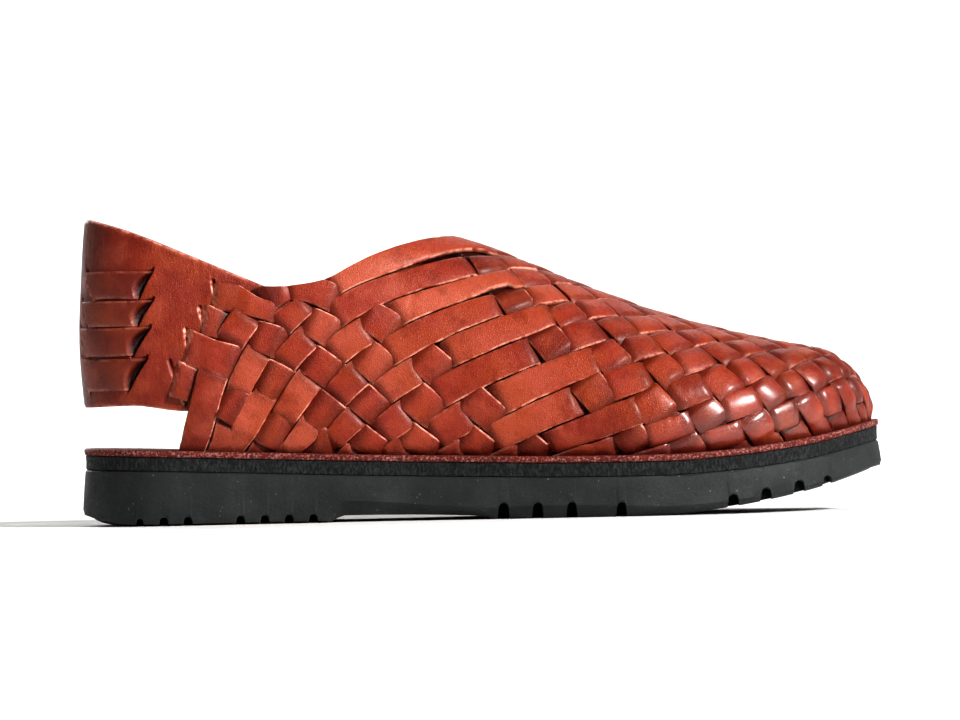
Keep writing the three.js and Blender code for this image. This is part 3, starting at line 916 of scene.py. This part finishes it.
def side_steps(wall, strip):
    """Change of column and share per millimetre to a strip's side, along its middle line."""
    along, round_ = wall.slopes(strip.column, strip.share)
    normal = wall.at(wall.normals, strip.column, strip.share)
    heading = unit(np.gradient(strip.middle, axis=0))
    side = strip.hand * unit(np.cross(normal, heading))
    aa, ar, rr = (along**2).sum(-1), (along * round_).sum(-1), (round_**2).sum(-1)
    sa, sr = (side * along).sum(-1), (side * round_).sum(-1)
    area = np.maximum(aa * rr - ar * ar, 1e-6)
    return (rr * sa - ar * sr) / area, (aa * sr - ar * sa) / area


def strip_layers(strip, tone, length, lift, share, base, points):
    """Layers of a strip for its leather, from the tone of each stretch and the lift of each point."""
    x, z = points[..., 0], points[..., 2]
    forward = fade(base[..., 0], *TOE_TONE_FROM)
    top = TOP_TONE * fade(np.minimum(share, 2 - share), *TOP_TONE_FROM)
    tone = TONE_LEAST + TONE_SPREAD * tone + DARK_STRIPS.get(strip.number, 0)
    face = STRIP_SECTION["back"] == 0
    out_of_slit = SLIT_RIM * strip.slit * face * hump(length, SLIT_RIM_AT, SLIT_RIM_WIDTH)
    # Painted shade: where the strip sinks under crossing strips, at its foot on the sole, near the ends
    # where it dips under, and deep in its seams.
    shades = [
        SUNK_SHADE * ease(SUNK_LEVEL - SUNK_GROWTH * lift / WEAVE_RISE),
        FOOT_SHADE * (1 - fade(z - bed_height(x), *FOOT_SHADE_FROM)),
        ENDS_SHADE * strip.ends(length),
        np.broadcast_to(STRIP_SECTION["dark"], lift.shape),
    ]
    return {
        "tone": np.clip(tone + np.maximum(TOE_TONE * forward, top), 0, 1),
        "rim": np.maximum(STRIP_SECTION["rim"] * lerp(1, TOE_RIM, forward), out_of_slit),
        "back": np.broadcast_to(STRIP_SECTION["back"], lift.shape),
        "painted_shade": np.maximum.reduce(shades),
        "gloss": burnish(points),
    }


def strip_mesh(wall, strip, family):
    """Points, faces and layers of one strip as a closed, crowned ribbon that rides over and under."""
    seed = 1000 * (strip.hand + 2) + 10 * strip.number + int(strip.share[0] > 1)
    stray = lambda step: EDGE_WANDER * wander(strip.length, seed + step, EDGE_WANDER_SIZE)
    lower = room_beside(strip, family, -1) + stray(1)
    upper = room_beside(strip, family, 1) + stray(2)
    across = STRIP_SECTION["across"][None, :]
    length = strip.length[:, None] + np.zeros_like(across)
    if strip.slit:
        upper = upper + SLIT_WIDEN * (1 - ease(strip.length / SLIT_FADE))
        length = length + SLIT_SLANT * across * (1 - ease(length / SLIT_FADE))
    at_length = lambda values: np.interp(length, strip.length, values)
    offset = across * np.where(across > 0, at_length(lower), at_length(upper))
    side_column, side_share = side_steps(wall, strip)
    column = at_length(strip.column) + offset * at_length(side_column)
    share = wall.below_collar(column, at_length(strip.share) + offset * at_length(side_share))
    base = wall.at(wall.points, column, share)
    lift = strip.lift(length)
    pillow = lerp(STRIP_CROWN, TOE_CROWN, fade(base[..., 0], *TOE_CROWN_FROM))
    crown = pillow * (1 - across**2) * (STRIP_SECTION["height"] > 0)
    ripple = RIPPLE * wander(strip.length, seed + 3, RIPPLE_SIZE)[:, None]
    height = lift - WEAVE_DEPTH + STRIP_SECTION["height"] * STRIP_THICKNESS + crown + ripple
    height = height - FOOT_TUCK * fade(np.maximum(-share, share - 2), *FOOT_TUCK_FROM)
    height = height + creases(wall, base)
    if strip.slit:
        height = height - SLIT_DIVE * (1 - fade(length, *SLIT_RISE_FROM))
        height = np.maximum(height, -SLIT_DEEPEST)
    points = base + wall.at(wall.normals, column, share) * height[..., None]
    tone = strip.tones(strip.length, seed + 4)[:, None]
    layers = strip_layers(strip, tone, length, lift, share, base, points)
    return points.reshape(-1, 3), tube_faces(*lift.shape), flat_layers(layers)


def join_meshes(meshes):
    """Several meshes of points, faces and layers as one."""
    points, faces, start = [], [], 0
    for some, quads, _ in meshes:
        points.append(some)
        faces += [[corner + start for corner in quad] for quad in quads]
        start += len(some)
    layers = {key: np.concatenate([m[2][key] for m in meshes]) for key in meshes[0][2]}
    return np.concatenate(points), faces, layers


def make_weave(material):
    """The woven upper: two families of strips that cross each other all over the wall."""
    wall = Wall()
    families = {
        "woven_strips_outer": weave_family(wall, False),
        "woven_strips_inner": weave_family(wall, True),
    }
    for strip in families["woven_strips_outer"]:
        for other in families["woven_strips_inner"]:
            strip.meet(other)
    for name, family in families.items():
        points, faces, layers = join_meshes([strip_mesh(wall, strip, family) for strip in family])
        make_piece(name, points, faces, material, ("upper",), layers)


def strap_turn(x, z):
    """The turn round the strap, on either side, at which its outer face reaches x at a height."""
    back = strap_back(z)
    return np.arccos(1 - (x - back) / (STRAP_FRONT - back)) * 2 / math.pi


def strap_slits():
    """The strap's slits: both ends as turn and height, and 1 or -1 for a lip ahead or behind."""
    slits = []
    for side in (-1, 1):
        for high, low, top_back, low_back, top_front, low_front in zip(*LACES.values()):
            slits.append(((side * top_front, high), (side * low_front, low), 1))
            slits.append(((side * top_back, high), (side * low_back, low), -1))
        for _, *ends in zip(*TOOTH_SLITS.values()):
            top, low = ends[:2], ends[2:]
            slits.append(((side * strap_turn(*top), top[1]), (side * strap_turn(*low), low[1]), -1))
    return slits


# Slits of the heel strap and their lips, then its edges, waves and tones
SLIT_DEPTH = 2.2
SLIT_GAP = 0.9
SLIT_SOFT = 1.1
SLIT_BELLY = 2.4
SLIT_REACH = 1.4
LIP_HEIGHT = 0.8
LIP_REACH = 4.5
LIP_ENDS = (0.1, 0.9)
LIP_RIM, LIP_PALENESS = 0.4, 1.6
TEETH_TURN, TEETH_SPREAD, TEETH_CLOSER = 0.76, 0.13, 1.8
FINE_TURNS = 4001
STRAP_ROUNDING, STRAP_ROUNDING_OVER = 0.5, 1.2
STRAP_RIM, STRAP_RIM_OVER = 0.8, 0.8
STRAP_WAVE, WAVE_TURN, WAVE_HEIGHTS = 0.35, 9, (13, 17)
STRAP_BEHIND = 0.5
STRAP_TONE, STRAP_SHADE, STRAP_GLOSS = 0.68, 0.06, 0.1
# Painted shade on the strap's back, which faces away from the key light: the tone and shade it adds
BEHIND_TONE, BEHIND_SHADE = 0.32, 0.46


def strap_columns():
    """Turns of the strap's columns, which stand closer together where the strips come out of it."""
    fine = np.linspace(1, -1, FINE_TURNS)
    closer = 1 + TEETH_CLOSER * hump(np.abs(fine), TEETH_TURN, TEETH_SPREAD)
    run = np.concatenate([[0], np.cumsum(closer[1:])])
    return np.interp(np.linspace(0, run[-1], STRAP_COLUMNS), run, fine)


def slit_fields(turn, z, face):
    """What the slits do to the strap's face: its lift, the shade in the slits and the pale cut lips."""
    lift, shade, pale = (np.zeros(z.shape) for _ in range(3))
    run = run_length(face[:, face.shape[1] // 2])
    unrolled = lambda at: np.interp(-at, -turn[:, 0], run)
    flat = np.stack([unrolled(turn), z], -1)
    for (top_turn, high), (low_turn, low), lip in strap_slits():
        top, bottom = unrolled(top_turn), unrolled(low_turn)
        away, share = distance_to(flat, np.array([top, high]), np.array([bottom, low]))
        line = lerp(bottom, top, (z - low) / (high - low))
        signed = away * np.sign((line - flat[..., 0]) * top_turn * lip)
        ahead = ease(signed / SLIT_SOFT + 0.5)
        same_side = turn * top_turn > 0
        gap = SLIT_GAP + (SLIT_BELLY if lip > 0 else 0) * np.sin(math.pi * share)
        rise = LIP_HEIGHT * hump(away, 0, LIP_REACH) * np.sin(math.pi * lerp(*LIP_ENDS, share))
        groove = ease(SLIT_REACH - away / gap)
        lift += same_side * lerp(-SLIT_DEPTH * groove, rise, ahead)
        shade = np.maximum(shade, same_side * (1 - ahead) * groove)
        if lip < 0:
            pale = np.maximum(pale, LIP_PALENESS * same_side * hump(signed, LIP_RIM, LIP_RIM))
    return np.maximum(lift, -SLIT_DEPTH), shade, pale


def make_strap(material):
    """The heel strap: one band with slits, raised lips beside them and a suede inner face."""
    rise = np.linspace(0, 1, STRAP_ROWS)[None, :]
    turn = strap_columns()[:, None] + 0 * rise
    x = lerp(0, STRAP_FRONT, 1 - np.cos(np.abs(turn) * math.pi / 2))
    low, high = read(STRAP_EDGES, "low", x, "x"), read(STRAP_EDGES, "high", x, "x")
    z = lerp(low, high, rise)
    outer = strap_point(turn, z, 0)
    inner = strap_point(turn, z, STRAP_THICKNESS)
    outward = unit(outer - inner)
    lift, shade, pale = slit_fields(turn, z, outer)
    edge = np.minimum(rise, 1 - rise) * (high - low)
    rounding = STRAP_ROUNDING * (1 - ease(edge / STRAP_ROUNDING_OVER))
    waves = np.sin(turn * WAVE_TURN + z / WAVE_HEIGHTS[0]) * np.sin(z / WAVE_HEIGHTS[1] + 1)
    wave = STRAP_WAVE * waves
    outer = outer + outward * (lift - rounding + wave)[..., None]
    inner = inner + outward * (rounding + wave)[..., None]
    points = np.concatenate([outer.reshape(-1, 3), inner.reshape(-1, 3)])
    index = np.arange(z.size).reshape(z.shape)
    rim = np.concatenate([index[:, 0], index[-1, 1:], index[-2::-1, -1], index[0, -2:0:-1]])
    after = np.roll(rim, -1)
    faces = grid_faces(STRAP_COLUMNS, STRAP_ROWS)
    faces += [[corner + z.size for corner in face[::-1]] for face in faces]
    faces += np.stack([rim, after, after + z.size, rim + z.size], -1).tolist()
    # Painted shade: the strap's back, turned away from the key light, is darker in tone and shade.
    behind = 1 - ease(np.abs(turn) / STRAP_BEHIND)
    face_layers = {
        "tone": STRAP_TONE + BEHIND_TONE * behind,
        "rim": np.maximum(STRAP_RIM * (1 - ease(edge / STRAP_RIM_OVER)), pale),
        "back": np.zeros(z.shape),
        "painted_shade": np.maximum(shade, STRAP_SHADE + BEHIND_SHADE * behind),
        "gloss": np.full(z.shape, STRAP_GLOSS),
    }
    suede = {key: np.full(z.shape, key == "back") for key in face_layers}
    layers = flat_layers({key: np.stack([face_layers[key], suede[key]]) for key in suede})
    make_piece("heel_strap_band", points, faces, material, ("heel_strap",), layers)


# Lace bars: steps, lifts above the strap, thickness, ends, edges and tones
LACE_COLUMNS, LACE_ROWS = 72, 20
LACE_LIFT = 1.5
LACE_SINK = 1.7
LACE_BOW = 0.35
LACE_THICKNESS = 1.5
LACE_LENGTH = 34
LACE_SPARE = 0.025
LACE_BITE = 0.1
LACE_DEEPEST = STRAP_THICKNESS - 0.5
LACE_WANDER, LACE_WANDER_RUN, LACE_WANDER_SIZE = 0.3, 30, 9
LACE_EDGE_POWER, LACE_EDGE_DROP, LACE_EDGE_THINS = 6, 0.35, 0.4
LACE_BACK_FROM, LACE_FRONT_FROM = (-0.6, 2.6), (-0.7, 2.4)
LACE_LIT_BACK, LACE_LIT_FRONT = (0, 0.9), (0.2, 0.9)
LACE_SEED = 50
LACE_TONES = (0.75, 1.0)
LACE_SHADE, LACE_RIM, LACE_GLOSS = 0.18, 0.2, 0.25


def lace_mesh(side, bar, seed):
    """One lace bar: a trapezoid strip that comes out of one slit of the strap and goes into the next."""
    high, low, top_back, low_back, top_front, low_front = bar
    along = np.linspace(0, 1, LACE_COLUMNS)[:, None]
    rise = np.linspace(0, 1, LACE_ROWS)[None, :]
    end = 1 - LACE_BITE * np.sin(math.pi * rise)
    share = lerp(-LACE_SPARE, end + LACE_SPARE, along)
    turn = side * lerp(lerp(low_back, top_back, rise), lerp(low_front, top_front, rise), share)
    sway = wander(along.ravel() * LACE_WANDER_RUN, seed, LACE_WANDER_SIZE)
    z = lerp(low, high, rise) + LACE_WANDER * sway[:, None]
    outer = strap_point(turn, z, 0)
    outward = unit(outer - strap_point(turn, z, STRAP_THICKNESS))
    from_back, from_front = LACE_LENGTH * share, LACE_LENGTH * (end - share)
    raised = fade(from_back, *LACE_BACK_FROM) * fade(from_front, *LACE_FRONT_FROM)
    crown = 1 - (2 * rise - 1) ** LACE_EDGE_POWER
    bow = LACE_BOW * np.sin(math.pi * np.clip(share, 0, 1)) * crown
    lift = lerp(-LACE_SINK, LACE_LIFT, raised) + bow - LACE_EDGE_DROP * (1 - crown)
    under = np.maximum(lift - LACE_THICKNESS + LACE_EDGE_THINS * (1 - crown), -LACE_DEEPEST)
    top, bottom = (outer + outward * height[..., None] for height in (lift, under))
    ring = np.concatenate([top, bottom[:, ::-1]], axis=1)
    both = lambda face, back: np.concatenate([face + 0 * lift, back + 0 * lift], axis=1)
    shade = 1 - fade(from_front, *LACE_LIT_FRONT) * fade(from_back, *LACE_LIT_BACK)
    tone = np.random.default_rng(seed).uniform(*LACE_TONES)
    layers = {
        "tone": both(tone, tone),
        "rim": both(LACE_RIM * (crown < 0.5), LACE_RIM),
        "back": both(0, 0),
        "painted_shade": both(np.maximum(shade, LACE_SHADE), 0),
        "gloss": both(LACE_GLOSS, LACE_GLOSS),
    }
    return ring.reshape(-1, 3), tube_faces(*ring.shape[:2]), flat_layers(layers)


def make_laces(material):
    for side, name in ((-1, "outer"), (1, "inner")):
        for k, bar in enumerate(zip(*LACES.values())):
            points, faces, layers = lace_mesh(side, bar, LACE_SEED + 10 * k + side)
            end = f"{name}_{k + 1}"
            node = "heel_lace_" + end
            make_piece("lace_bar_" + end, points, faces, material, (node,), layers)


EVEN_STATIONS = (1 - np.cos(np.linspace(0, math.pi, SOLE_STATIONS))) / 2


def sole_layer(rings, stations):
    """Closed layer of the sole from rings, top down. Each has the inset at which its stations start and
    end, the inset of its outline and its heights at x."""
    points = []
    for ends, inset, height in rings:
        x = lerp(ends, LENGTH - ends, stations)
        axis, half = plan(x, inset)
        for side in (-1, 1):
            points.append(np.stack([x, axis + side * half, height(x)], -1))
    index = np.arange(len(points) * len(stations)).reshape(len(rings), 2, -1)
    round_ = np.concatenate([index[:, 0], index[::-1, 1]]).T
    faces = round_.ravel()[np.array(grid_faces(*round_.shape, closed=True))]
    return np.concatenate(points), faces.tolist()


def own_ends(*rings):
    """Rings whose stations run over the whole of their own outline."""
    return [(inset, inset, height) for inset, height in rings]


def plate_rings(top, inset, *rings):
    """Rings of a plate whose top is a depth below the bed, each by how far it lies inside and below."""
    level = lambda down: lambda x: bed_height(x) - top - down
    return own_ends(*((inset + inside, level(down)) for inside, down in rings))


def channel_roof(x):
    """Height of the tread's cross channels at x, far below the floor between them."""
    roof = np.full_like(x, -100.0)
    for along, depth, width in zip(*CHANNELS.values()):
        centre, half = along * LENGTH, width / 2
        top = read(SOLE, "tread", np.array([along]))[0] + depth
        away = np.abs(x - centre)
        arch = top - half + np.sqrt(np.maximum(half**2 - away**2, 0))
        wall = top - half - (away - half) / CHANNEL_FLARE * depth
        roof = np.maximum(roof, np.where(away < half, arch, wall))
    return roof


OUTSOLE_BEVEL, OUTSOLE_BEVEL_DROP = 0.6, 0.7
# Rings of the outsole's wall: inset, and share of the way down to the tread's edge
OUTSOLE_WALL = ((OUTSOLE_TOP_INSET - 0.1, 0.1), (OUTSOLE_TOP_INSET * 0.5, 0.45), (0.1, 0.93))


def make_outsole(material):
    """The moulded outsole with its heel, waist, forefoot and cross channels."""
    stations = [EVEN_STATIONS]
    for along, width in zip(CHANNELS["along"], CHANNELS["width"]):
        reach = width / 2 + CHANNEL_FLARE + CHANNEL_SPARE
        stations.append((along * LENGTH + np.linspace(-1, 1, CHANNEL_STEPS) * reach) / LENGTH)
    top = lambda x: bed_height(x) - INSOLE_THICKNESS - MIDSOLE_THICKNESS - 2 * GAP + FLUSH
    plain = lambda x: read(SOLE, "tread", x / LENGTH)
    tread = lambda x: np.maximum(plain(x), channel_roof(x))
    brim = lambda x: plain(x) + read(SOLE, "edge", x / LENGTH)
    edge = lambda x: np.maximum(brim(x), channel_roof(x) + CHANNEL_EDGE)
    wall = lambda share: lambda x: np.maximum(lerp(top(x), edge(x), share), edge(x))
    rings = own_ends(
        (OUTSOLE_TOP_INSET + OUTSOLE_BEVEL, top),
        (OUTSOLE_TOP_INSET, lambda x: top(x) - OUTSOLE_BEVEL_DROP),
        *((inset, wall(share)) for inset, share in OUTSOLE_WALL),
        (TREAD_EDGE_INSET, edge),
    )
    flat = ((TREAD_INSET, tread), (CHANNEL_REACH, tread), (CHANNEL_REACH + CHANNEL_END, plain))
    rings += [(TREAD_EDGE_INSET, inset, height) for inset, height in flat]
    points, faces = sole_layer(rings, np.unique(np.concatenate(stations)))
    make_piece("outsole_lugs", points, faces, material, ("outsole",), crease=28)


def make_midsole(material):
    """The rubber band between outsole and insole, its edge a little hollow and worn."""
    rings = plate_rings(
        INSOLE_THICKNESS + GAP - FLUSH,
        MIDSOLE_INSET,
        (0.3, 0),
        (0, 0.25),
        (0.1, MIDSOLE_THICKNESS * 0.5),
        (0, MIDSOLE_THICKNESS),
        (0.2, MIDSOLE_THICKNESS + FLUSH - 0.05),
    )
    points, faces = sole_layer(rings, EVEN_STATIONS)
    make_piece("midsole_band", points, faces, material, ("midsole",))


# How far the insole's rings, top down, are raw and fuzzy
INSOLE_RAWNESS = (0.0, 0.4, 1.0, 1.0, 1.0, 0.0)
INSOLE_FUZZ, INSOLE_SEED = 0.09, 7


def make_insole(material):
    """The leather plate under the foot, with a raw rounded edge that stands out as a ledge."""
    rings = plate_rings(
        0,
        INSOLE_INSET,
        (3, 0),
        (0.6, 0.05),
        (0.1, 0.5),
        (0, INSOLE_THICKNESS * 0.5),
        (0.1, INSOLE_THICKNESS - 0.3),
        (0.4, INSOLE_THICKNESS),
    )
    points, faces = sole_layer(rings, EVEN_STATIONS)
    raw = np.repeat(INSOLE_RAWNESS, 2 * SOLE_STATIONS)
    fuzz = np.random.default_rng(INSOLE_SEED).normal(0, INSOLE_FUZZ, points.shape)
    points = points + fuzz * raw[:, None]
    make_piece("insole_plate", points, faces, material, ("insole",), {"raw": raw}, 60)


# Studio: a pale sweep, soft lights and a long lens at the photograph's angle, in metres
IMAGE_WIDTH, IMAGE_HEIGHT = 960, 720
SHOE_PIXELS = 800
CAMERA_DISTANCE = 3.0
CAMERA_HEIGHT = 0.056
CAMERA_ROLL = 1.3
SENSOR_WIDTH = 36
FLOOR_RADIUS = 4.2
FLOOR_BEND = 1.2
FLOOR_MIDDLE = 0.6
WALL_TOP = 4.5
SWEEP_SIDES = 96
SHOE_MIDDLE = (0, 0, 0.05)
WORLD_STRENGTH = 0.02
# Lights: place, the point that they face, width and power
LIGHTS = {
    "key": ((1.56, -1.56, 1.43), SHOE_MIDDLE, 0.4, 86),
    "fill": ((-1.6, -1.5, 0.8), SHOE_MIDDLE, 1.2, 0.5),
    "rear": ((-0.9, 2.2, 0.9), SHOE_MIDDLE, 0.8, 22),
    "wall_back": ((0, 3, 3.2), (0, 4.6, 0.3), 2.4, 105),
    "wall_front": ((0, -3, 3.2), (0, -4.6, 0.3), 2.4, 6),
    "wall_right": ((3, 0, 3.2), (4.6, 0, 0.3), 2.4, 10),
    "wall_left": ((-3, 0, 3.2), (-4.6, 0, 0.3), 2.4, 6),
}


def make_sweep():
    """Pale floor that curves up into a round wall, wide enough for a camera to go round the shoe."""
    s = Shader("studio_paper", 0.9, Specular_IOR_Level=0.1)
    paper = s.finish(s.mix(s.noise(400, 2), srgb(234, 234, 233), srgb(230, 230, 229)))
    bend = np.linspace(0, math.pi / 2, 13)
    curve = FLOOR_RADIUS + FLOOR_BEND * np.sin(bend)
    radius = np.concatenate([[FLOOR_MIDDLE], curve, curve[-1:]])
    height = np.concatenate([[0], FLOOR_BEND * (1 - np.cos(bend)), [WALL_TOP]])
    around = np.linspace(0, 2 * math.pi, SWEEP_SIDES, endpoint=False)
    ring = np.stack([np.cos(around), np.sin(around)], -1)
    points = [(x * r, y * r, z) for r, z in zip(radius, height) for x, y in ring]
    faces = grid_faces(len(radius), len(around), closed=True) + [list(range(len(around)))]
    mesh = bpy.data.meshes.new("studio_sweep")
    mesh.from_pydata(points, [], faces)
    mesh.polygons.foreach_set("use_smooth", np.ones(len(faces), bool))
    mesh.materials.append(paper)
    sweep = bpy.data.objects.new("studio_sweep", mesh)
    bpy.context.scene.collection.objects.link(sweep)


def add_light(name, place, target, width, power):
    data = bpy.data.lights.new(name, "AREA")
    data.shape = "DISK"
    data.size = width
    data.energy = power
    light = bpy.data.objects.new(name, data)
    light.location = place
    light.rotation_euler = (Vector(target) - Vector(place)).to_track_quat("-Z", "Y").to_euler()
    bpy.context.scene.collection.objects.link(light)


def make_studio():
    make_sweep()
    for name, light in LIGHTS.items():
        add_light(name, *light)
    scene = bpy.context.scene
    scene.world = bpy.data.worlds.new("studio_world")
    scene.world.use_nodes = True
    background = scene.world.node_tree.nodes["Background"]
    background.inputs["Color"].default_value = (1, 1, 1, 1)
    background.inputs["Strength"].default_value = WORLD_STRENGTH
    scene.view_settings.view_transform = "Standard"
    scene.view_settings.look = "High Contrast"


def make_camera():
    """Long lens from the outer side, rolled as the photograph is, with the toe a little up."""
    data = bpy.data.cameras.new("camera")
    frame_width = LENGTH / 1000 * IMAGE_WIDTH / SHOE_PIXELS
    data.sensor_width = SENSOR_WIDTH
    data.lens = SENSOR_WIDTH * CAMERA_DISTANCE / frame_width
    camera = bpy.data.objects.new("camera", data)
    look = Matrix.Rotation(math.pi / 2, 4, "X") @ Matrix.Rotation(-math.radians(CAMERA_ROLL), 4, "Z")
    camera.matrix_world = Matrix.Translation((0, -CAMERA_DISTANCE, CAMERA_HEIGHT)) @ look
    bpy.context.scene.collection.objects.link(camera)
    bpy.context.scene.camera = camera


make_weave(leather_material("woven_leather"))
make_strap(leather_material("strap_leather", 0.25))
make_laces(leather_material("lace_leather"))
make_insole(insole_material())
make_midsole(band_material())
make_outsole(rubber_material())
make_studio()
make_camera()
